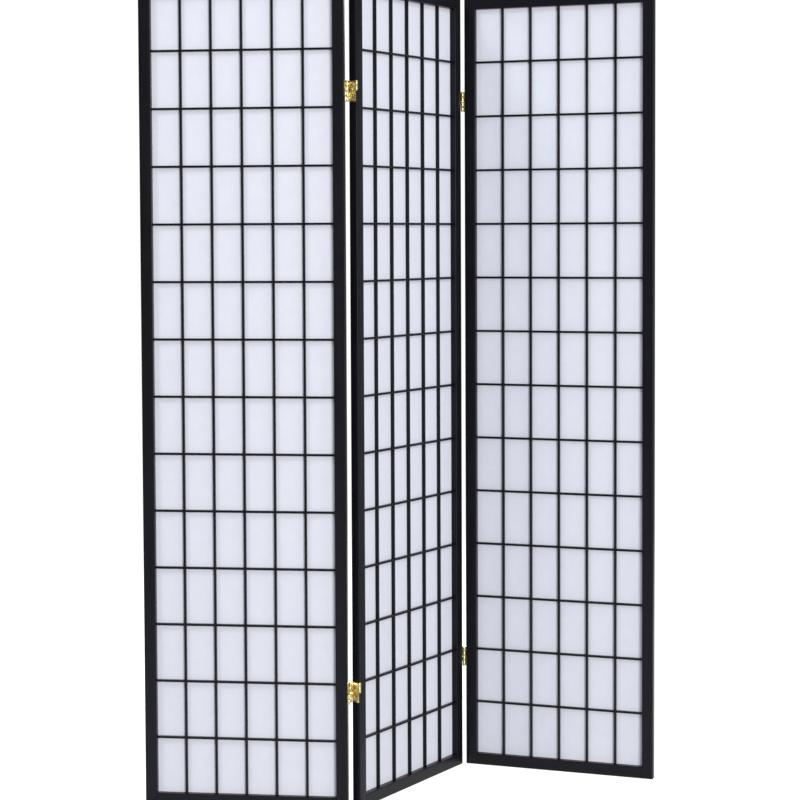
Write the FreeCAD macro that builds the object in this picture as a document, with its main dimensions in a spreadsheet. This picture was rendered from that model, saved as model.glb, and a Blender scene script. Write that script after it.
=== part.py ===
import FreeCAD, Part
import math
import os
import Sketcher

# Three-panel shoji folding screen. Each panel is a mortised frame of stiles and rails that carries
# a half-lapped lattice of thin bars with a paper sheet glued behind it. Two crossed-link hinges
# join each pair of panels, so the screen stands folded like the letter Z.
#
# Panel frame of reference: +X along the panel, +Y from the front face to the back, +Z up.

os.makedirs("parts", exist_ok=True)
doc = FreeCAD.newDocument("shoji_screen")

DRIVING_SIZES = (
    # one panel
    ("panel_width", 444.5),
    ("panel_height", 1778.0),
    ("frame_depth", 19.05),
    ("stile_width", 25.4),
    ("rail_height", 26.0),
    ("frame_rounding", 1.6),
    # rebate round the back of the opening, where the paper's margin is glued
    ("rebate_width", 5.5),
    ("lattice_recess", 6.5),
    ("lattice_depth", 7.5),
    ("paper_thickness", 0.4),
    ("paper_margin_gap", 0.3),
    # lattice
    ("columns", 6),
    ("rows", 14),
    ("upright_width", 4.6),
    ("crossbar_height", 4.6),
    ("socket_depth", 4.5),
    ("socket_end_gap", 0.25),
    # mortise and tenon joints of the frame
    ("tenon_length", 16.0),
    ("tenon_thickness", 6.0),
    ("tenon_shoulder", 5.0),
    ("mortise_end_gap", 0.5),
    # crossed-link hinges
    ("hinge_height", 44.5),
    ("hinge_below_top", 237.0),
    ("hinge_above_floor", 253.0),
    ("axis_beyond_edge", 3.6),
    ("axis_beyond_face", 2.2),
    ("knuckle_radius", 3.3),
    ("leaf_knuckle_height", 10.6),
    ("knuckle_gap", 0.3),
    ("middle_slit", 1.0),
    ("leaf_thickness", 1.6),
    ("leaf_inset", 1.2),
    ("link_thickness", 1.2),
    ("link_swing_gap", 0.5),
    ("access_hole_radius", 3.9),
    ("pin_radius", 1.2),
    ("pin_running_gap", 0.05),
    # countersunk holes for the wood screws
    ("screw_head_radius", 3.2),
    ("screw_shank_radius", 1.7),
    # how the screen stands
    ("middle_panel_turn", 56.0),
    ("left_fold", 65.5),
    ("right_fold", 78.5),
)

DERIVED_SIZES = (
    ("opening_width", "=panel_width - 2 * stile_width"),
    ("opening_height", "=panel_height - 2 * rail_height"),
    ("column_pitch", "=(opening_width + upright_width) / columns"),
    ("row_pitch", "=(opening_height + crossbar_height) / rows"),
    ("first_upright", "=column_pitch - upright_width"),
    ("first_crossbar", "=row_pitch - crossbar_height"),
    ("paper_plane", "=lattice_recess + lattice_depth"),
    ("bar_tongue", "=socket_depth - socket_end_gap"),
    ("half_lap", "=lattice_depth / 2"),
    ("axis_offset", "=frame_depth / 2 + axis_beyond_face"),
    ("half_hinge", "=hinge_height / 2"),
    ("half_slit", "=middle_slit / 2"),
    ("hinge_half_height", "=half_hinge - half_slit"),
    ("screw_level", "=hinge_height / 4"),
)

sheet = doc.addObject("Spreadsheet::Sheet", "sizes")
for row, (alias, content) in enumerate(DRIVING_SIZES + DERIVED_SIZES, start=1):
    cell = "B%d" % row
    sheet.set("A%d" % row, alias)
    sheet.set(cell, str(content))
    sheet.setAlias(cell, alias)
doc.recompute()


def size(alias):
    return float(sheet.get(alias))


# ---------------------------------------------------------------- sketch and feature helpers


def origin_feature(body, role):
    for feature in body.Origin.OriginFeatures:
        if feature.Role == role:
            return feature
    raise ValueError(role)


def new_sketch(body, name, plane, offset=None):
    """Empty sketch on one of the body's origin planes, moved along the plane's normal by offset."""
    sketch = body.newObject("Sketcher::SketchObject", name)
    sketch.AttachmentSupport = [(origin_feature(body, plane), "")]
    sketch.MapMode = "FlatFace"
    if offset is not None:
        sketch.setExpression("AttachmentOffset.Base.z", offset)
    return sketch


def draw_outline(sketch, corners):
    """Closed outline of straight lines. Each corner is a pair of expressions, from the origin."""
    first = sketch.GeometryCount
    count = len(corners)
    start = [FreeCAD.Vector(*corner_guess(index, count), 0) for index in range(count)]
    for index in range(count):
        line = Part.LineSegment(start[index], start[(index + 1) % count])
        sketch.addGeometry(line, False)
    for index in range(count):
        here = first + index
        following = first + (index + 1) % count
        sketch.addConstraint(Sketcher.Constraint("Coincident", here, 2, following, 1))
    for index, (across, up) in enumerate(corners):
        here = first + index
        bind(sketch, Sketcher.Constraint("DistanceX", -1, 1, here, 1, start[index].x), across)
        bind(sketch, Sketcher.Constraint("DistanceY", -1, 1, here, 1, start[index].y), up)


def corner_guess(index, count):
    angle = 2 * math.pi * (index + 0.5) / count
    return 10 * math.cos(angle) + 20, 10 * math.sin(angle) + 20


def draw_rectangle(sketch, left, bottom, right, top):
    draw_outline(sketch, [(left, bottom), (right, bottom), (right, top), (left, top)])


def draw_circle(sketch, across, up, radius):
    index = sketch.GeometryCount
    circle = Part.Circle(FreeCAD.Vector(20, 20 + 5 * index, 0), FreeCAD.Vector(0, 0, 1), 2)
    sketch.addGeometry(circle, False)
    bind(sketch, Sketcher.Constraint("DistanceX", -1, 1, index, 3, 20), across)
    bind(sketch, Sketcher.Constraint("DistanceY", -1, 1, index, 3, 20 + 5 * index), up)
    bind(sketch, Sketcher.Constraint("Radius", index, 2), radius)


def bind(sketch, constraint, expression):
    index = sketch.addConstraint(constraint)
    sketch.setExpression("Constraints[%d]" % index, expression)


def pad(body, sketch, length, both_ways=None, symmetric=False):
    """Pad along the sketch's normal; both_ways is the length on the other side."""
    feature = body.newObject("PartDesign::Pad", sketch.Name + "_pad")
    feature.Profile = sketch
    feature.setExpression("Length", length)
    if both_ways:
        feature.SideType = "Two sides"
        feature.setExpression("Length2", both_ways)
    if symmetric:
        feature.SideType = "Symmetric"
    return feature


def pocket(body, sketch, depth, reverse=False):
    """Pocket against the sketch's normal, or along it when reversed."""
    feature = body.newObject("PartDesign::Pocket", sketch.Name + "_pocket")
    feature.Profile = sketch
    feature.setExpression("Length", depth)
    feature.Reversed = reverse
    return feature


def repeat_along(body, originals, axis, pitch, count):
    pattern = body.newObject("PartDesign::LinearPattern", originals[0].Name + "_row")
    pattern.Originals = originals
    pattern.Direction = (origin_feature(body, axis), [""])
    pattern.Mode = "Spacing"
    pattern.setExpression("Offset", pitch)
    pattern.setExpression("Occurrences", count)
    body.Tip = pattern
    return pattern


def round_edges(body, feature, wanted):
    """Fillet the straight edges that the function picks by their midpoint and direction."""
    doc.recompute()
    names = []
    for index, edge in enumerate(feature.Shape.Edges, start=1):
        middle = edge.valueAt((edge.FirstParameter + edge.LastParameter) / 2)
        if wanted(middle, edge.tangentAt(edge.FirstParameter)):
            names.append("Edge%d" % index)
    fillet = body.newObject("PartDesign::Fillet", body.Name + "_rounding")
    fillet.Base = (feature, names)
    fillet.setExpression("Radius", "sizes.frame_rounding")
    return fillet


def near(a, b):
    return abs(a - b) < 0.01


# ------------------------------------------------------------------------------ frame pieces


def make_stile(name):
    """Upright side of a frame. Its own frame: outer edge at x = 0, foot at z = 0. The right stile
    is the same piece turned end for end."""
    body = doc.addObject("PartDesign::Body", name)
    profile = new_sketch(body, name + "_section", "XY_Plane")
    draw_outline(profile, [
        ("0", "0"),
        ("sizes.stile_width", "0"),
        ("sizes.stile_width", "sizes.paper_plane"),
        ("sizes.stile_width - sizes.rebate_width", "sizes.paper_plane"),
        ("sizes.stile_width - sizes.rebate_width", "sizes.frame_depth"),
        ("0", "sizes.frame_depth"),
    ])
    blank = pad(body, profile, "sizes.panel_height")
    inner = size("stile_width")
    back = size("frame_depth")
    step = inner - size("rebate_width")

    def outer_arris(middle, along):
        if near(abs(along.z), 1):
            return near(middle.x, 0) or (near(middle.x, inner) and near(middle.y, 0)) or (
                near(middle.x, step) and near(middle.y, back))
        if near(abs(along.x), 1):
            return near(middle.y, 0) or near(middle.y, back)
        return near(middle.x, 0)

    round_edges(body, blank, outer_arris)

    mortise = new_sketch(body, name + "_mortise", "YZ_Plane", "sizes.stile_width")
    draw_rectangle(
        mortise,
        "(sizes.frame_depth - sizes.tenon_thickness) / 2", "sizes.tenon_shoulder",
        "(sizes.frame_depth + sizes.tenon_thickness) / 2", "sizes.rail_height - sizes.tenon_shoulder")
    cut = pocket(body, mortise, "sizes.tenon_length + sizes.mortise_end_gap")
    repeat_along(body, [cut], "Z_Axis", "sizes.panel_height - sizes.rail_height", "2")

    socket = new_sketch(body, name + "_socket", "YZ_Plane", "sizes.stile_width")
    lowest = "(sizes.rail_height + sizes.first_crossbar)"
    draw_rectangle(
        socket,
        "sizes.lattice_recess", lowest,
        "sizes.paper_plane", lowest + " + sizes.crossbar_height")
    cut = pocket(body, socket, "sizes.socket_depth")
    repeat_along(body, [cut], "Z_Axis", "sizes.row_pitch", "sizes.rows - 1")

    return body


def make_rail(name):
    """Bottom rail with a tenon at each end. Its own frame: left shoulder at x = 0, underside at
    z = 0. The top rail is the same piece turned end for end."""
    body = doc.addObject("PartDesign::Body", name)
    profile = new_sketch(body, name + "_section", "YZ_Plane")
    draw_outline(profile, [
        ("0", "0"),
        ("sizes.frame_depth", "0"),
        ("sizes.frame_depth", "sizes.rail_height - sizes.rebate_width"),
        ("sizes.paper_plane", "sizes.rail_height - sizes.rebate_width"),
        ("sizes.paper_plane", "sizes.rail_height"),
        ("0", "sizes.rail_height"),
    ])
    blank = pad(body, profile, "sizes.opening_width")
    back = size("frame_depth")
    top = size("rail_height")
    step = top - size("rebate_width")

    def long_arris(middle, along):
        if not near(abs(along.x), 1):
            return False
        front = near(middle.y, 0)
        return front or (near(middle.y, back) and (near(middle.z, 0) or near(middle.z, step)))

    round_edges(body, blank, long_arris)

    tenon = new_sketch(body, name + "_tenon", "YZ_Plane")
    draw_rectangle(
        tenon,
        "(sizes.frame_depth - sizes.tenon_thickness) / 2", "sizes.tenon_shoulder",
        "(sizes.frame_depth + sizes.tenon_thickness) / 2", "sizes.rail_height - sizes.tenon_shoulder")
    pad(body, tenon, "sizes.opening_width + sizes.tenon_length", both_ways="sizes.tenon_length")

    socket = new_sketch(body, name + "_socket", "XY_Plane", "sizes.rail_height")
    draw_rectangle(
        socket,
        "sizes.first_upright", "sizes.lattice_recess",
        "sizes.first_upright + sizes.upright_width", "sizes.paper_plane")
    cut = pocket(body, socket, "sizes.socket_depth")
    repeat_along(body, [cut], "X_Axis", "sizes.column_pitch", "sizes.columns - 1")
    return body


# ---------------------------------------------------------------------------------- lattice


def make_upright(name):
    """Vertical lattice bar, notched behind for each cross bar. Its own frame: front, left, foot."""
    body = doc.addObject("PartDesign::Body", name)
    section = new_sketch(body, name + "_section", "XY_Plane")
    draw_rectangle(section, "0", "0", "sizes.upright_width", "sizes.lattice_depth")
    pad(body, section, "sizes.opening_height + 2 * sizes.bar_tongue")
    notch = new_sketch(body, name + "_notch", "YZ_Plane")
    lowest = "(sizes.bar_tongue + sizes.first_crossbar)"
    draw_rectangle(
        notch, "sizes.half_lap", lowest, "sizes.lattice_depth", lowest + " + sizes.crossbar_height")
    cut = pocket(body, notch, "sizes.upright_width", reverse=True)
    repeat_along(body, [cut], "Z_Axis", "sizes.row_pitch", "sizes.rows - 1")
    return body


def make_crossbars(name):
    """All cross bars of one panel, notched in front for each upright as one gang cut."""
    body = doc.addObject("PartDesign::Body", name)
    section = new_sketch(body, name + "_section", "XY_Plane")
    bar_length = "sizes.opening_width + 2 * sizes.bar_tongue"
    draw_rectangle(section, "0", "0", bar_length, "sizes.lattice_depth")
    bar = pad(body, section, "sizes.crossbar_height")
    repeat_along(body, [bar], "Z_Axis", "sizes.row_pitch", "sizes.rows - 1")
    notch = new_sketch(body, name + "_notch", "XY_Plane")
    left = "(sizes.bar_tongue + sizes.first_upright)"
    draw_rectangle(notch, left, "0", left + " + sizes.upright_width", "sizes.half_lap")
    cut = pocket(body, notch, "sizes.opening_height", reverse=True)
    repeat_along(body, [cut], "X_Axis", "sizes.column_pitch", "sizes.columns - 1")
    return body


def make_paper(name):
    """Paper sheet that covers the opening and the rebate round it."""
    paper = doc.addObject("Part::Box", name)
    margin = "2 * (sizes.rebate_width - sizes.paper_margin_gap)"
    paper.setExpression("Length", "sizes.opening_width + " + margin)
    paper.setExpression("Width", "sizes.paper_thickness")
    paper.setExpression("Height", "sizes.opening_height + " + margin)
    return paper


# ----------------------------------------------------------------------------------- hinges
# Hinge frame of reference: x = 0 on the panel's edge and +X away from the wood, y = 0 at the
# middle of the panel's depth, z = 0 at the hinge's middle height.


def make_leaf(name):
    """Leaf screwed to a panel's edge: knuckles behind in the upper half, in front in the lower."""
    body = doc.addObject("PartDesign::Body", name)
    plate = new_sketch(body, name + "_plate", "XY_Plane")
    edge = "(sizes.frame_depth / 2 - sizes.leaf_inset)"
    draw_rectangle(plate, "0", "-" + edge, "sizes.leaf_thickness", edge)
    pad(body, plate, "sizes.hinge_height", symmetric=True)

    tab = new_sketch(body, name + "_tab", "XY_Plane", "sizes.half_slit")
    draw_rectangle(tab, "0", "0", "sizes.leaf_thickness", "sizes.axis_offset")
    tab_pad = pad(body, tab, "sizes.leaf_knuckle_height")
    barrel = new_sketch(body, name + "_barrel", "XY_Plane", "sizes.half_slit")
    draw_circle(barrel, "sizes.axis_beyond_edge", "sizes.axis_offset", "sizes.knuckle_radius")
    barrel_pad = pad(body, barrel, "sizes.leaf_knuckle_height")
    bore = new_sketch(body, name + "_bore", "XY_Plane", "sizes.half_slit")
    draw_circle(bore, "sizes.axis_beyond_edge", "sizes.axis_offset", "sizes.pin_radius")
    bore_cut = pocket(body, bore, "sizes.leaf_knuckle_height", reverse=True)

    screw = new_sketch(body, name + "_countersink", "XY_Plane", "sizes.screw_level")
    draw_outline(screw, [
        ("0", "0"),
        ("sizes.leaf_thickness", "0"),
        ("sizes.leaf_thickness", "sizes.screw_head_radius"),
        ("0", "sizes.screw_shank_radius"),
    ])
    countersink = body.newObject("PartDesign::Groove", name + "_countersink_groove")
    countersink.Profile = screw
    countersink.ReferenceAxis = (screw, ["H_Axis"])
    countersink.Angle = 360

    turned = body.newObject("PartDesign::PolarPattern", name + "_turned")
    turned.Originals = [tab_pad, barrel_pad, bore_cut, countersink]
    turned.Axis = (origin_feature(body, "X_Axis"), [""])
    turned.Angle = 360
    turned.Occurrences = 2
    body.Tip = turned
    return body


def make_link(name):
    """Link of the upper half. It crosses from one leaf's back knuckle to the other's front one."""
    body = doc.addObject("PartDesign::Body", name)
    near_face = "sizes.axis_beyond_edge - sizes.link_thickness / 2"
    far_face = "sizes.axis_beyond_edge + sizes.link_thickness / 2"
    plate = new_sketch(body, name + "_plate", "XY_Plane", "sizes.half_slit")
    end = "(sizes.axis_offset - sizes.knuckle_radius - sizes.link_swing_gap)"
    draw_rectangle(plate, near_face, "-" + end, far_face, end)
    pad(body, plate, "sizes.hinge_half_height")

    level = "sizes.half_slit + sizes.leaf_knuckle_height + sizes.knuckle_gap"
    height = "sizes.hinge_half_height - sizes.leaf_knuckle_height - sizes.knuckle_gap"
    tab = new_sketch(body, name + "_tab", "XY_Plane", level)
    draw_rectangle(tab, near_face, "-sizes.axis_offset", far_face, "sizes.axis_offset")
    pad(body, tab, height)
    barrels = new_sketch(body, name + "_barrels", "XY_Plane", level)
    bores = new_sketch(body, name + "_bores", "XY_Plane", level)
    for side in ("-", ""):
        draw_circle(
            barrels, "sizes.axis_beyond_edge", side + "sizes.axis_offset", "sizes.knuckle_radius")
        draw_circle(
            bores, "sizes.axis_beyond_edge", side + "sizes.axis_offset",
            "sizes.pin_radius + sizes.pin_running_gap")
    pad(body, barrels, height)
    pocket(body, bores, height, reverse=True)

    access = new_sketch(body, name + "_access", "YZ_Plane")
    draw_circle(access, "0", "sizes.screw_level", "sizes.access_hole_radius")
    body.Tip = pocket(body, access, "2 * sizes.axis_beyond_edge", reverse=True)
    return body


def make_pin(name):
    pin = doc.addObject("Part::Cylinder", name)
    pin.setExpression("Radius", "sizes.pin_radius")
    pin.setExpression("Height", "sizes.hinge_half_height")
    return pin


# -------------------------------------------------------------------------------- placements


def placement(x, y, z, axis=(0, 0, 1), angle=0):
    rotation = FreeCAD.Rotation(FreeCAD.Vector(*axis), angle)
    return FreeCAD.Placement(FreeCAD.Vector(x, y, z), rotation)


def hinge_placement(edge, level):
    """Hinge frame on a panel's left or right edge."""
    if edge == "right":
        return placement(size("panel_width"), size("frame_depth") / 2, level)
    return placement(0, size("frame_depth") / 2, level, angle=180)


def fold_about(axis_x, axis_y, angle):
    """Turn by angle about the upright line through (axis_x, axis_y)."""
    there = placement(axis_x, axis_y, 0, angle=angle)
    return there * placement(-axis_x, -axis_y, 0)


def panel_placements():
    """The middle panel is turned as it stands, and its neighbours fold about the hinge axes."""
    width = size("panel_width")
    beyond_edge = size("axis_beyond_edge")
    back_axis = size("frame_depth") + size("axis_beyond_face")
    front_axis = -size("axis_beyond_face")
    spacing = width + 2 * beyond_edge
    middle = placement(0, 0, 0, angle=size("middle_panel_turn"))
    left_fold = fold_about(-beyond_edge, back_axis, -size("left_fold"))
    right_fold = fold_about(width + beyond_edge, front_axis, -size("right_fold"))
    return {
        "middle": middle,
        "left": middle * left_fold * placement(-spacing, 0, 0),
        "right": middle * right_fold * placement(spacing, 0, 0),
    }


# ----------------------------------------------------------------------------------- assembly

HINGED_EDGES = {"left": ["right"], "middle": ["left", "right"], "right": ["left"]}
END_FOR_END = ((0, 1, 0), 180)

nodes = []  # (object, panel, placement in the panel)


def add_node(piece, label, panel, place):
    piece.Label = label
    nodes.append((piece, panel, place))


def add_frame(panel):
    width = size("panel_width")
    height = size("panel_height")
    rail_left = size("stile_width")
    name = panel + "_panel_left_stile"
    add_node(make_stile(name), name, panel, placement(0, 0, 0))
    name = panel + "_panel_right_stile"
    add_node(make_stile(name), name, panel, placement(width, 0, height, *END_FOR_END))
    name = panel + "_panel_bottom_rail"
    add_node(make_rail(name), name, panel, placement(rail_left, 0, 0))
    name = panel + "_panel_top_rail"
    add_node(make_rail(name), name, panel, placement(width - rail_left, 0, height, *END_FOR_END))


def add_lattice(panel):
    recess = size("lattice_recess")
    tongue = size("bar_tongue")
    inner_left = size("stile_width")
    inner_bottom = size("rail_height")
    for index in range(int(size("columns")) - 1):
        across = inner_left + size("first_upright") + index * size("column_pitch")
        name = "%s_panel_upright_bar_%d" % (panel, index + 1)
        add_node(make_upright(name), name, panel, placement(across, recess, inner_bottom - tongue))
    name = panel + "_panel_cross_bars"
    first_level = inner_bottom + size("first_crossbar")
    add_node(make_crossbars(name), name, panel, placement(inner_left - tongue, recess, first_level))
    name = panel + "_panel_paper"
    margin = size("rebate_width") - size("paper_margin_gap")
    corner = placement(inner_left - margin, size("paper_plane"), inner_bottom - margin)
    add_node(make_paper(name), name, panel, corner)


def hinge_levels():
    return {
        "top": size("panel_height") - size("hinge_below_top"),
        "bottom": size("hinge_above_floor"),
    }


def add_hinges():
    """The upper link rides with the middle panel at both folds, the lower one with its neighbour."""
    upside_down = placement(0, 0, 0, axis=(1, 0, 0), angle=180)
    for fold, neighbour_edge, middle_edge in (("left", "right", "left"), ("right", "left", "right")):
        for where, level in hinge_levels().items():
            hinge = "%s_%s_hinge" % (fold, where)
            on_neighbour = hinge_placement(neighbour_edge, level)
            on_middle = hinge_placement(middle_edge, level)
            name = hinge + "_outer_leaf"
            add_node(make_leaf(name), name, fold, on_neighbour)
            name = hinge + "_middle_leaf"
            add_node(make_leaf(name), name, "middle", on_middle)
            name = hinge + "_upper_link"
            add_node(make_link(name), name, "middle", on_middle)
            name = hinge + "_lower_link"
            add_node(make_link(name), name, fold, on_neighbour * upside_down)


def add_pins(panel):
    """A pin in each knuckle of the leaves on this panel, all in one node."""
    pins = []
    for edge in HINGED_EDGES[panel]:
        for where, level in hinge_levels().items():
            hinge = hinge_placement(edge, level)
            for half, side, foot in (("upper", 1, size("half_slit")), ("lower", -1, -size("half_hinge"))):
                pin = make_pin("pin_%s_%s_%s_%s" % (panel, edge, where, half))
                axis = placement(size("axis_beyond_edge"), side * size("axis_offset"), foot)
                pin.Placement = hinge * axis
                pins.append(pin)
    name = panel + "_panel_hinge_pins"
    group = doc.addObject("Part::Compound", name)
    group.Links = pins
    add_node(group, name, panel, placement(0, 0, 0))


for panel in ("left", "middle", "right"):
    add_frame(panel)
    add_lattice(panel)
    add_pins(panel)
add_hinges()


def place_nodes(shift):
    panels = panel_placements()
    for piece, panel, place in nodes:
        piece.Placement = shift * panels[panel] * place
    doc.recompute()


def standing_shift():
    """Moves the middle of the screen's box to the origin; it already stands on z = 0."""
    box = FreeCAD.BoundBox()
    for piece, _, _ in nodes:
        box.add(piece.Shape.optimalBoundingBox())
    return placement(-box.Center.x, -box.Center.y, -box.ZMin)


place_nodes(placement(0, 0, 0))
place_nodes(standing_shift())

for piece in doc.Objects:
    problems = {"Invalid", "Error"} & set(piece.State)
    if problems:
        raise ValueError("%s: %s" % (piece.Label, sorted(problems)))
for piece, _, _ in nodes:
    if piece.Shape.isNull() or not piece.Shape.isValid():
        raise ValueError(piece.Label + " has no valid shape")
    piece.Shape.exportStep("parts/%s.step" % piece.Label)
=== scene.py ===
import math

import bpy
from mathutils import Matrix, Vector, noise


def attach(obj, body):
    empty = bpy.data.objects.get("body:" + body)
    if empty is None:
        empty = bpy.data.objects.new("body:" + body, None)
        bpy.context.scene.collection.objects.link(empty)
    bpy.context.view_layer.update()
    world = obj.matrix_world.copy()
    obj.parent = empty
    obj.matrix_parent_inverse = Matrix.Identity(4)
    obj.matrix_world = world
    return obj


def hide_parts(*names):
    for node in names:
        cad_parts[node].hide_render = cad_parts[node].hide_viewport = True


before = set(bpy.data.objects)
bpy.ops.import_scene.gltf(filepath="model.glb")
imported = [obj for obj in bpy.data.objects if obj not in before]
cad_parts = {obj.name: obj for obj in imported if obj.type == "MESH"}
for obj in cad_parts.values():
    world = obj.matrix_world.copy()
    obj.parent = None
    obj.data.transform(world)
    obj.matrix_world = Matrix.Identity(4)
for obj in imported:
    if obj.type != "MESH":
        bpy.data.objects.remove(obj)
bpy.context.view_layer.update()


# --- Frames: stiles and rails ---------------------------------------------------------------
# Each panel has two full-height stiles with two rails tenoned between them, of a light hardwood.
# The corners are eased, and the wood is sprayed with black satin lacquer that fills most of
# the grain. All three panels are the same, and they stand folded like the letter Z.

folds = {"left": -9.5, "middle": 56.0, "right": -22.5}


def extent(node, stand):
    """A node's lowest and highest corners, measured along, through and up a panel that stands so."""
    to_panel = stand.inverted()
    points = [to_panel @ vertex.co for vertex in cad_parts[node].data.vertices]
    low = Vector([min(point[axis] for point in points) for axis in range(3)])
    high = Vector([max(point[axis] for point in points) for axis in range(3)])
    return low, high


def standing(panel, fold):
    """The panel's place, from the lower front corner of its left stile and its turn in degrees."""
    turn = Matrix.Rotation(math.radians(fold), 4, "Z")
    corner, _ = extent(panel + "_panel_left_stile", turn)
    return turn @ Matrix.Translation(corner)


panels = {panel: standing(panel, fold) for panel, fold in folds.items()}


class Wire:
    """An output of a shader node. Arithmetic between wires and numbers adds Math nodes."""

    def __init__(self, tree, output=None):
        self.tree = tree
        self.output = output

    def node(self, kind, settings=(), values=(), output=None):
        """Adds a node, with its settings first and then the values or wires of its sockets."""
        made = self.tree.nodes.new("ShaderNode" + kind)
        for name, value in dict(settings).items():
            setattr(made, name, value)
        inputs = [socket for socket in made.inputs if socket.enabled]
        for name, value in dict(values).items():
            socket = inputs[name] if isinstance(name, int) else next(
                socket for socket in inputs if socket.name == name)
            if isinstance(value, Wire):
                self.tree.links.new(value.output, socket)
            else:
                socket.default_value = value
        outputs = [socket for socket in made.outputs if socket.enabled]
        wanted = [socket for socket in outputs if output in (None, socket.name)]
        return Wire(self.tree, wanted[0])

    def maths(self, operation, *terms):
        return self.node("Math", {"operation": operation}, dict(enumerate(terms)))

    def __add__(self, other):
        return self.maths("ADD", self, other)

    __radd__ = __add__

    def __sub__(self, other):
        return self.maths("SUBTRACT", self, other)

    def __mul__(self, other):
        return self.maths("MULTIPLY", self, other)

    def __abs__(self):
        return self.maths("ABSOLUTE", self)

    def __mod__(self, other):
        return self.maths("FLOORED_MODULO", self, other)

    def larger(self, other):
        return self.maths("MAXIMUM", self, other)

    def between(self, low, high):
        """0 below low and 1 above high, eased between the two. It falls where low > high."""
        edges = {"Value": self, "From Min": low, "From Max": high}
        return self.node("MapRange", {"interpolation_type": "SMOOTHSTEP"}, edges)

    def blend(self, first, second):
        """The first colour where this wire is 0, and the second where it is 1."""
        return self.node(
            "Mix", {"data_type": "RGBA"}, {"Factor": self, "A": first, "B": second})


def new_finish(name, **constants):
    """A new material whose shader holds these constants, a wire to start from, and the shader."""
    finish = bpy.data.materials.new(name)
    finish.use_nodes = True
    tree = finish.node_tree
    shader = tree.nodes["Principled BSDF"]
    for socket, value in constants.items():
        shader.inputs[socket.replace("_", " ")].default_value = value
    return finish, Wire(tree), shader


def plug(shader, **wires):
    """Links these wires to the shader's sockets."""
    for socket, wire in wires.items():
        wire.tree.links.new(wire.output, shader.inputs[socket.replace("_", " ")])


def panel_point(start, panel, stretch=(1, 1, 1)):
    """The shaded point, measured along, through and up the panel, and stretched by axis."""
    point = start.node("TexCoord", output="Object")
    stand = panels[panel]
    here = start.node("Mapping", {"vector_type": "TEXTURE"}, {
        "Vector": point, "Location": stand.to_translation(), "Rotation": stand.to_euler()})
    return start.node("Mapping", {"vector_type": "POINT"}, {"Vector": here, "Scale": stretch})


def black_lacquer(panel, grain):
    """Black satin lacquer over open-grained wood, whose grain runs up or across the panel."""
    finish, start, shader = new_finish(
        "black_lacquer_%s_%s_grain" % (panel, grain), Specular_IOR_Level=0.18)
    stretch = (1, 1, 0.03) if grain == "upright" else (0.03, 1, 1)
    along = panel_point(start, panel, stretch)
    anywhere = panel_point(start, panel)
    pores = start.node("TexNoise", (), {
        "Vector": along, "Scale": 1500.0, "Detail": 3.0, "Roughness": 0.6}, "Fac")
    figure = start.node("TexNoise", (), {
        "Vector": along, "Scale": 130.0, "Detail": 2.0, "Distortion": 0.6}, "Fac")
    cloud = start.node("TexNoise", (), {"Vector": anywhere, "Scale": 14.0, "Detail": 2.0}, "Fac")
    mist = start.node("TexNoise", (), {"Vector": anywhere, "Scale": 2600.0, "Detail": 1.0}, "Fac")
    open_pore = pores.between(0.60, 0.72)
    tone = (figure * 0.6 + cloud * 0.4).between(0.3, 0.7)
    colour = tone.blend((0.0035, 0.0036, 0.0062, 1), (0.0058, 0.0061, 0.0096, 1))
    colour = (open_pore * 0.5).blend(colour, (0.0018, 0.0019, 0.0034, 1))
    sheen = 0.26 + cloud * 0.10 + figure * 0.05 + open_pore * 0.14
    relief = figure * 0.35 + mist * 0.12 - open_pore * 0.5
    bump = start.node("Bump", (), {"Height": relief, "Strength": 0.35, "Distance": 0.00012})
    plug(shader, Base_Color=colour, Roughness=sheen, Normal=bump)
    return finish


lacquer = {
    (panel, grain): black_lacquer(panel, grain)
    for panel in panels for grain in ("upright", "level")
}


def only(*pieces):
    """Selects these objects and no others, the first one active."""
    bpy.ops.object.select_all(action="DESELECT")
    for piece in pieces:
        piece.select_set(True)
    bpy.context.view_layer.objects.active = pieces[0]


merge_distance = 0.000002
flat_angle = math.radians(0.5)


def dressed(node, body, finish, name):
    """A piece in the shape of a CAD node, with its loose triangles merged, left selected."""
    piece = bpy.data.objects.new(name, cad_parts[node].data.copy())
    bpy.context.scene.collection.objects.link(piece)
    piece.data.name = name
    piece.data.materials.clear()
    piece.data.materials.append(finish)
    only(piece)
    bpy.ops.object.mode_set(mode="EDIT")
    bpy.ops.mesh.select_all(action="SELECT")
    bpy.ops.mesh.customdata_custom_splitnormals_clear()
    bpy.ops.mesh.remove_doubles(threshold=merge_distance)
    bpy.ops.mesh.dissolve_limited(angle_limit=flat_angle)
    bpy.ops.object.mode_set(mode="OBJECT")
    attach(piece, body)
    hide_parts(node)
    return piece


frame_parts = {
    "left_stile": "upright", "right_stile": "upright",
    "bottom_rail": "level", "top_rail": "level",
}
for panel in panels:
    for part, grain in frame_parts.items():
        node = "%s_panel_%s" % (panel, part)
        dressed(
            node, panel + "_panel", lacquer[panel, grain],
            "%s_%s_lacquered" % (panel, part))
        bpy.ops.object.shade_smooth_by_angle(angle=math.radians(30))


# --- Lattice: upright bars and cross bars -----------------------------------------------------
# Thin square-edged sticks, half lapped into each other, with their ends let into the frame.
# They take the same black lacquer, and their arrises are only just broken by sanding.

bar_arris = 0.0003


def soften(piece, width, segments):
    """Breaks the piece's sharp arrises by this width, in this many steps."""
    only(piece)
    arris = piece.modifiers.new("arris", "BEVEL")
    arris.width = width
    arris.segments = segments
    arris.limit_method = "ANGLE"
    arris.angle_limit = math.radians(50)
    arris.use_clamp_overlap = True
    bpy.ops.object.modifier_apply(modifier=arris.name)
    bpy.ops.object.shade_smooth_by_angle(angle=math.radians(40))


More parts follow.
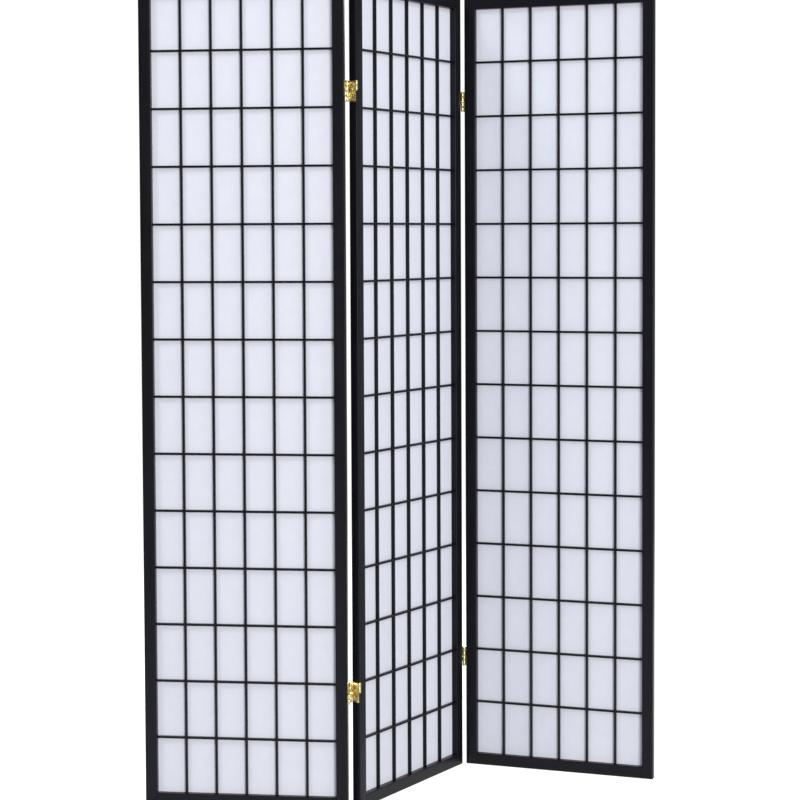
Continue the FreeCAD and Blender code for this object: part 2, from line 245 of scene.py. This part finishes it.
for panel in panels:
    bars = {"upright_bar_%d" % number: "upright" for number in range(1, 6)}
    bars["cross_bars"] = "level"
    for part, grain in bars.items():
        node = "%s_panel_%s" % (panel, part)
        piece = dressed(
            node, panel + "_panel", lacquer[panel, grain],
            "%s_%s_lacquered" % (panel, part))
        soften(piece, bar_arris, 1)


# --- Paper ------------------------------------------------------------------------------------
# One sheet of bonded shoji paper to a panel, cut to lap the rebate and glued to the back of the
# frame and of every bar. It is drawn tight, so it only just swells back within each pane.

# Measured from the middle panel, whose paper and bars are like those of the other two.
columns = 6
rows = 14
stand = panels["middle"]
sheet_low, sheet_high = extent("middle_panel_paper", stand)
_, stile_high = extent("middle_panel_left_stile", stand)
bar_low, bar_high = extent("middle_panel_upright_bar_1", stand)
next_low, _ = extent("middle_panel_upright_bar_2", stand)
cross_low, cross_high = extent("middle_panel_cross_bars", stand)
paper_wide, paper_thick, paper_high = [round(size, 6) for size in sheet_high - sheet_low]
lap = stile_high.x - sheet_low.x
bar_wide = bar_high.x - bar_low.x
column_pitch = next_low.x - bar_low.x
row_pitch = (cross_high.z - cross_low.z - bar_wide) / (rows - 2)
pane_swell = 0.00035
pane_squares = 8
# Painted shade: a grey band on the paper reaches from this near the centre line of each bar out to
# this far from it.
bar_shade_inside = 0.0018
bar_shade_outside = 0.0032
# For each layer of fibres: how fine it is, how much it bends, and which way it lies.
fibre_layers = ((95.0, 1.6, 0.3), (130.0, 2.2, 1.4), (70.0, 1.2, 2.3))


def painted_bar_shade_line(place, pitch):
    """1 behind the middle of each bar of this pitch, fading to 0 just beside it: where the painted
    shade along the bars lies.
    """
    from_pane_middle = abs((place - (lap - bar_wide / 2)) % pitch - pitch / 2)
    return from_pane_middle.between(pitch / 2 - bar_shade_outside, pitch / 2 - bar_shade_inside)


def shoji_paper(panel):
    """White paper with a faint cloud of long fibres, and a band of painted shade along every bar: a
    painted shadow beside it from the front, and the dark bar painted as showing through from the
    back.
    """
    finish, start, shader = new_finish(
        "shoji_paper_" + panel, Specular_IOR_Level=0.25)
    flat = start.node("TexCoord", output="UV")
    cloud = start.node("TexNoise", (), {
        "Vector": flat, "Scale": 34.0, "Detail": 4.0, "Roughness": 0.62}, "Fac")
    pulp = start.node("TexNoise", (), {
        "Vector": flat, "Scale": 420.0, "Detail": 4.0, "Roughness": 0.7}, "Fac")
    fibres = None
    for scale, bend, turned in fibre_layers:
        laid = start.node("Mapping", (), {
            "Vector": flat, "Rotation": (0, 0, turned), "Scale": (1, 0.28, 1)})
        ripple = start.node("TexNoise", (), {
            "Vector": laid, "Scale": scale, "Detail": 1.0, "Distortion": bend}, "Fac")
        strand = abs(ripple - 0.5).between(0.012, 0.0)
        fibres = strand if fibres is None else fibres.larger(strand)
    fibres = fibres * pulp.between(0.35, 0.65)
    # The mask of the painted shade along the upright bars and the cross bars.
    upright_bar_shade = painted_bar_shade_line(start.node("SeparateXYZ", (), {"Vector": flat}, "X"), column_pitch)
    level_bar_shade = painted_bar_shade_line(start.node("SeparateXYZ", (), {"Vector": flat}, "Y"), row_pitch)
    painted_bar_shade = upright_bar_shade.larger(level_bar_shade)
    colour = cloud.between(0.25, 0.75).blend(
        (0.775, 0.800, 0.900, 1), (0.805, 0.828, 0.925, 1))
    colour = (pulp.between(0.3, 0.7) * 0.35).blend(colour, (0.825, 0.845, 0.935, 1))
    colour = (fibres * 0.45).blend(colour, (0.88, 0.895, 0.96, 1))
    # Painted shade: from the front, a painted shadow beside every bar; from the back, the dark bars
    # painted as showing through the paper.
    colour = (painted_bar_shade * 0.55).blend(colour, (0.51, 0.525, 0.59, 1))
    relief = cloud * 0.6 + pulp * 0.25 + fibres * 0.5
    bump = start.node("Bump", (), {"Height": relief, "Strength": 0.3, "Distance": 0.0003})
    dryness = 0.78 + pulp * 0.14 - fibres * 0.08
    plug(shader, Base_Color=colour, Roughness=dryness, Normal=bump)
    return finish


def swell(distance, pitch):
    """0 at every bar and 1 in the middle of a pane, with no kink at the bars."""
    return (1 - math.cos(2 * math.pi * (distance + bar_wide / 2) / pitch)) / 2


for panel, stand in panels.items():
    turn = stand.to_euler().z
    middle = (sheet_low + sheet_high) / 2
    middle.y = sheet_low.y
    bpy.ops.object.select_all(action="DESELECT")
    bpy.ops.mesh.primitive_grid_add(
        x_subdivisions=columns * pane_squares, y_subdivisions=rows * pane_squares, size=1.0,
        location=stand @ middle, rotation=(math.pi / 2, 0, turn))
    sheet = bpy.context.object
    sheet.name = panel + "_shoji_paper"
    sheet.data.name = sheet.name
    sheet.scale = (paper_wide, paper_high, 1)
    bpy.ops.object.transform_apply(location=False, rotation=False, scale=True)
    for vertex in sheet.data.vertices:
        across = vertex.co.x + paper_wide / 2 - lap
        up = vertex.co.y + paper_high / 2 - lap
        inside = 0 < across < paper_wide - 2 * lap and 0 < up < paper_high - 2 * lap
        if inside:
            slack = 0.7 + 0.5 * noise.noise(Vector((across * 9, up * 6, turn)))
            depth = pane_swell * slack * swell(across, column_pitch) * swell(up, row_pitch)
            vertex.co.z -= depth
    for corner in sheet.data.uv_layers[0].data:
        corner.uv = (corner.uv.x * paper_wide, corner.uv.y * paper_high)
    thickness = sheet.modifiers.new("thickness", "SOLIDIFY")
    thickness.thickness = paper_thick
    thickness.offset = -1
    bpy.ops.object.modifier_apply(modifier=thickness.name)
    bpy.ops.object.transform_apply(location=True, rotation=True, scale=True)
    bpy.ops.object.shade_smooth_by_angle(angle=math.radians(40))
    sheet.data.materials.append(shoji_paper(panel))
    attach(sheet, panel + "_panel")
    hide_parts(panel + "_panel_paper")


# --- Hinges: leaves, links and pins -----------------------------------------------------------
# Two-way screen hinges, pressed from brass-plated steel strip: a leaf on each stile's edge, and
# two links that cross between the leaves' knuckles. Headless pins run through the knuckles.

strip_edge = 0.00015
pin_edge = 0.0002


def plated_brass(panel):
    """Bright brass plate over pressed steel: rolled streaks, small dents and a little tarnish."""
    finish, start, shader = new_finish("plated_brass_" + panel, Metallic=1.0)
    rolled = panel_point(start, panel, (1, 1, 0.08))
    anywhere = panel_point(start, panel)
    streak = start.node("TexNoise", (), {"Vector": rolled, "Scale": 2400.0, "Detail": 3.0}, "Fac")
    dent = start.node("TexNoise", (), {"Vector": anywhere, "Scale": 240.0, "Detail": 2.0}, "Fac")
    tarnish = start.node("TexNoise", (), {
        "Vector": anywhere, "Scale": 110.0, "Detail": 4.0, "Roughness": 0.65}, "Fac")
    aged = tarnish.between(0.48, 0.72)
    colour = aged.blend((0.64, 0.55, 0.27, 1), (0.42, 0.35, 0.15, 1))
    polish = 0.20 + streak * 0.10 + aged * 0.16
    relief = dent * 0.9 + streak * 0.10
    bump = start.node("Bump", (), {"Height": relief, "Strength": 0.5, "Distance": 0.0004})
    plug(shader, Base_Color=colour, Roughness=polish, Normal=bump)
    return finish


brass = {panel: plated_brass(panel) for panel in panels}
for side in ("left", "right"):
    for level in ("top", "bottom"):
        carriers = {
            "outer_leaf": side, "lower_link": side, "middle_leaf": "middle",
            "upper_link": "middle"}
        for part, panel in carriers.items():
            node = "%s_%s_hinge_%s" % (side, level, part)
            piece = dressed(node, panel + "_panel", brass[panel], node + "_plated")
            soften(piece, strip_edge, 2)
for panel in panels:
    node = panel + "_panel_hinge_pins"
    piece = dressed(node, panel + "_panel", brass[panel], node + "_plated")
    soften(piece, pin_edge, 2)


# --- Hinge screws -----------------------------------------------------------------------------
# Two countersunk wood screws hold each leaf, 15 mm long, with cross recesses and plated like the
# hinges. Their heads lie flush in the leaf, and the shanks taper to a point in the stile's edge.

head_radius = 0.00312
head_rim = 0.00016
head_cone = 0.00142
head_face = 0.00158
shank_radius = 0.00160
shank_length = 0.0105
point_length = 0.0032
recess_deep = 0.0012
recess_long = 0.0038
recess_wide = 0.0008
rim_edge = 0.00006

bpy.ops.object.select_all(action="DESELECT")
bpy.ops.mesh.primitive_cylinder_add(
    vertices=24, radius=head_radius, depth=head_rim, location=(head_face - head_rim / 2, 0, 0),
    rotation=(0, math.pi / 2, 0))
screw = bpy.context.object
bpy.ops.object.transform_apply(location=True, rotation=True, scale=True)
bpy.ops.object.mode_set(mode="EDIT")
bpy.ops.mesh.select_mode(type="FACE")
bpy.ops.mesh.select_all(action="DESELECT")
bpy.ops.object.mode_set(mode="OBJECT")
for face in screw.data.polygons:
    face.select = face.normal.x < -0.9
bpy.ops.object.mode_set(mode="EDIT")
# For each step back from the head: how long it is, and how much narrower it ends.
taper = (
    (head_cone, shank_radius / head_radius),
    (shank_length, 0.86),
    (point_length, 0.08),
)
for step, narrower in taper:
    bpy.ops.mesh.extrude_region_move(TRANSFORM_OT_translate={"value": (-step, 0, 0)})
    bpy.ops.transform.resize(value=(1, narrower, narrower))
bpy.ops.object.mode_set(mode="OBJECT")

bpy.ops.mesh.primitive_cube_add(
    size=1, location=(head_face, 0, 0), scale=(2 * recess_deep, recess_long, recess_wide))
recess = bpy.context.object
bpy.ops.object.transform_apply(location=True, rotation=True, scale=True)
bpy.ops.object.mode_set(mode="EDIT")
bpy.ops.mesh.duplicate()
bpy.ops.transform.rotate(
    value=math.pi / 2, orient_axis="X", center_override=(head_face, 0, 0))
bpy.ops.object.mode_set(mode="OBJECT")
only(screw)
cross = screw.modifiers.new("cross", "BOOLEAN")
cross.operation = "DIFFERENCE"
cross.solver = "EXACT"
cross.use_self = True
cross.object = recess
bpy.ops.object.modifier_apply(modifier=cross.name)
bpy.data.objects.remove(recess)
soften(screw, rim_edge, 1)

# The screws stand a quarter of the leaf's height from its ends, in the middle of the stile's edge,
# and each is turned home by an angle of its own, in radians.
screw_heights = []
for level in ("bottom", "top"):
    low, high = extent("left_%s_hinge_middle_leaf" % level, panels["middle"])
    screw_heights += [low.z + share * (high.z - low.z) for share in (0.25, 0.75)]
_, far_stile_high = extent("middle_panel_right_stile", panels["middle"])
edge_middle = stile_high.y / 2
right_edge = Matrix.Translation((far_stile_high.x, edge_middle, 0))
left_edge = Matrix.Translation((0, edge_middle, 0)) @ Matrix.Rotation(math.pi, 4, "Z")
hinged_edges = {"left": [right_edge], "middle": [right_edge, left_edge], "right": [left_edge]}
turned_home = (0.2, 1.1, 0.7, 1.9, 1.4, 0.5, 0.9, 1.7)
for panel, stand in panels.items():
    places = [
        edge @ Matrix.Translation((0, 0, height))
        for edge in hinged_edges[panel] for height in screw_heights]
    row = []
    for place, turn in zip(places, turned_home):
        copy = bpy.data.objects.new("screw", screw.data.copy())
        bpy.context.scene.collection.objects.link(copy)
        copy.matrix_world = stand @ place @ Matrix.Rotation(turn, 4, "X")
        row.append(copy)
    only(*row)
    bpy.ops.object.join()
    screws = bpy.context.object
    bpy.ops.object.transform_apply(location=True, rotation=True, scale=True)
    screws.name = panel + "_hinge_screws"
    screws.data.name = screws.name
    screws.data.materials.append(brass[panel])
    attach(screws, panel + "_panel")
bpy.data.objects.remove(screw)


# --- Floor ------------------------------------------------------------------------------------
# A wide pale studio floor, matt, a little see-through and softly lit from within. It shows in the
# lacquer's sheen but lights nothing, so the paper darkens a little towards the foot.

floor_radius = 5.0
floor_level = -0.0002
floor_cover = 0.7
whole_within = 1.2
gone_beyond = 4.5
bpy.ops.object.select_all(action="DESELECT")
bpy.ops.mesh.primitive_circle_add(
    vertices=96, radius=floor_radius, fill_type="NGON", location=(0, 0, floor_level))
floor = bpy.context.object
floor.name = "studio_floor"
finish, start, shader = new_finish(
    "studio_floor_paint", Roughness=0.9, Specular_IOR_Level=0.1,
    Emission_Color=(1, 1, 1, 1), Emission_Strength=0.75)
point = start.node("TexCoord", output="Object")
cloud = start.node("TexNoise", (), {"Vector": point, "Scale": 0.7, "Detail": 2.0}, "Fac")
reach = start.node("VectorMath", {"operation": "LENGTH"}, {0: point}, "Value")
plug(
    shader, Base_Color=cloud.blend((0.90, 0.90, 0.905, 1), (0.93, 0.93, 0.93, 1)),
    Alpha=reach.between(gone_beyond, whole_within) * floor_cover)
floor.data.materials.append(finish)
floor.visible_diffuse = False


# --- Light ------------------------------------------------------------------------------------
# A white surround, which shines on the screen at less than a third of its own brightness. A broad
# soft box stands in front, one stands high on each side, and one lights the back.

surround_glow = 0.31
surround_white = 1.03
world = bpy.data.worlds.new("white_surround")
world.use_nodes = True
sky = Wire(world.node_tree)
seen = sky.node("LightPath", output="Is Camera Ray")
glow = seen * (surround_white - surround_glow) + surround_glow
background = world.node_tree.nodes["Background"]
background.inputs["Color"].default_value = (1.0, 1.0, 1.0, 1)
world.node_tree.links.new(glow.output, background.inputs["Strength"])
bpy.context.scene.world = world

# Angles round and above the screen's middle in degrees, distances and sides in metres.
soft_boxes = {
    "left": {"azimuth": -56, "height": 42, "away": 5.5, "side": 1.0, "power": 50.0},
    "right": {"azimuth": 55, "height": 40, "away": 5.7, "side": 1.6, "power": 57.0},
    "front": {"azimuth": 16, "height": 5, "away": 8.5, "side": 3.0, "power": 464.0},
    "back": {"azimuth": 178, "height": 24, "away": 6.5, "side": 2.6, "power": 330.0},
}
aim = Vector((0, 0, 0.95))
for name, box in soft_boxes.items():
    lamp = bpy.data.lights.new(name, "AREA")
    lamp.size = box["side"]
    lamp.energy = box["power"]
    holder = bpy.data.objects.new(name, lamp)
    turned = Matrix.Rotation(math.radians(box["azimuth"]), 4, "Z")
    raised = Matrix.Rotation(math.radians(-box["height"]), 4, "X")
    towards = turned @ raised @ Vector((0, -1, 0))
    holder.location = aim + towards * box["away"]
    holder.rotation_euler = towards.to_track_quat("Z", "Y").to_euler()
    bpy.context.scene.collection.objects.link(holder)


# --- Camera -----------------------------------------------------------------------------------
# It stands 1.24 m above the floor, 4.6 m back and a little left of the screen's middle, with a
# long lens. It tips down by under three degrees, and the lens is shifted to look lower still.

picture = 800.0
focal_pixels = 2067.5
centre_row = 332.0
eye = (-0.2013, -4.5917, 1.2371)
turned_right = 2.43
tipped_down = 2.71
rolled = -0.25
lens = bpy.data.cameras.new("camera")
lens.sensor_width = 36.0
lens.lens = focal_pixels / picture * lens.sensor_width
lens.shift_y = (centre_row - picture / 2) / picture
camera = bpy.data.objects.new("camera", lens)
camera.matrix_world = (
    Matrix.Translation(eye)
    @ Matrix.Rotation(math.radians(-turned_right), 4, "Z")
    @ Matrix.Rotation(math.radians(90 - tipped_down), 4, "X")
    @ Matrix.Rotation(math.radians(rolled), 4, "Z"))
bpy.context.scene.collection.objects.link(camera)
bpy.context.scene.camera = camera
bpy.context.scene.view_settings.view_transform = "Standard"
